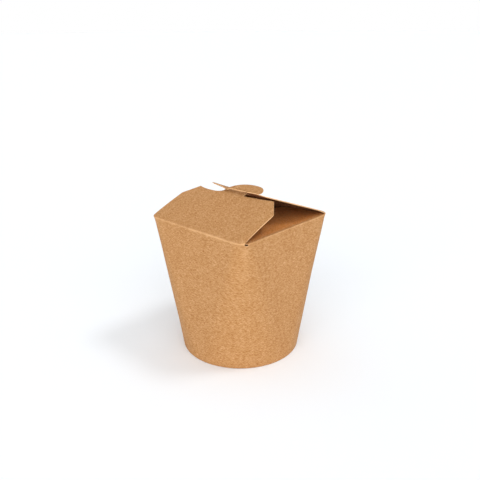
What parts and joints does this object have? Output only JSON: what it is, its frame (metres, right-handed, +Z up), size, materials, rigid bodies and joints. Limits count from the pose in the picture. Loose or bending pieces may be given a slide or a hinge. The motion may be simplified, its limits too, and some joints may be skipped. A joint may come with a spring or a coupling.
{
  "type": "noodle takeaway box",
  "caption": "Kraft-board takeaway box with a round foot and a square mouth, shut by sloping inner flaps and two outer flaps locked by a hooked tongue in a slot.",
  "frame": {"origin": "middle of the round foot, on the surface the box stands on", "axes": "+Z up through the lid's ridge; the front outer flap, with the tongue, is hinged at -X and the rear outer flap at +X; the inner flaps are hinged at -Y and +Y"},
  "size_m": [0.091, 0.091, 0.1203],
  "materials": {
    "kraft_board": "unprinted natural kraft board, matt, with a fine mottled fibre",
    "base_board": "unprinted natural kraft board, matt"
  },
  "bodies": {
    "root": {"carton": "kraft_board", "base_disc": "base_board"}
  },
  "joints": []
}
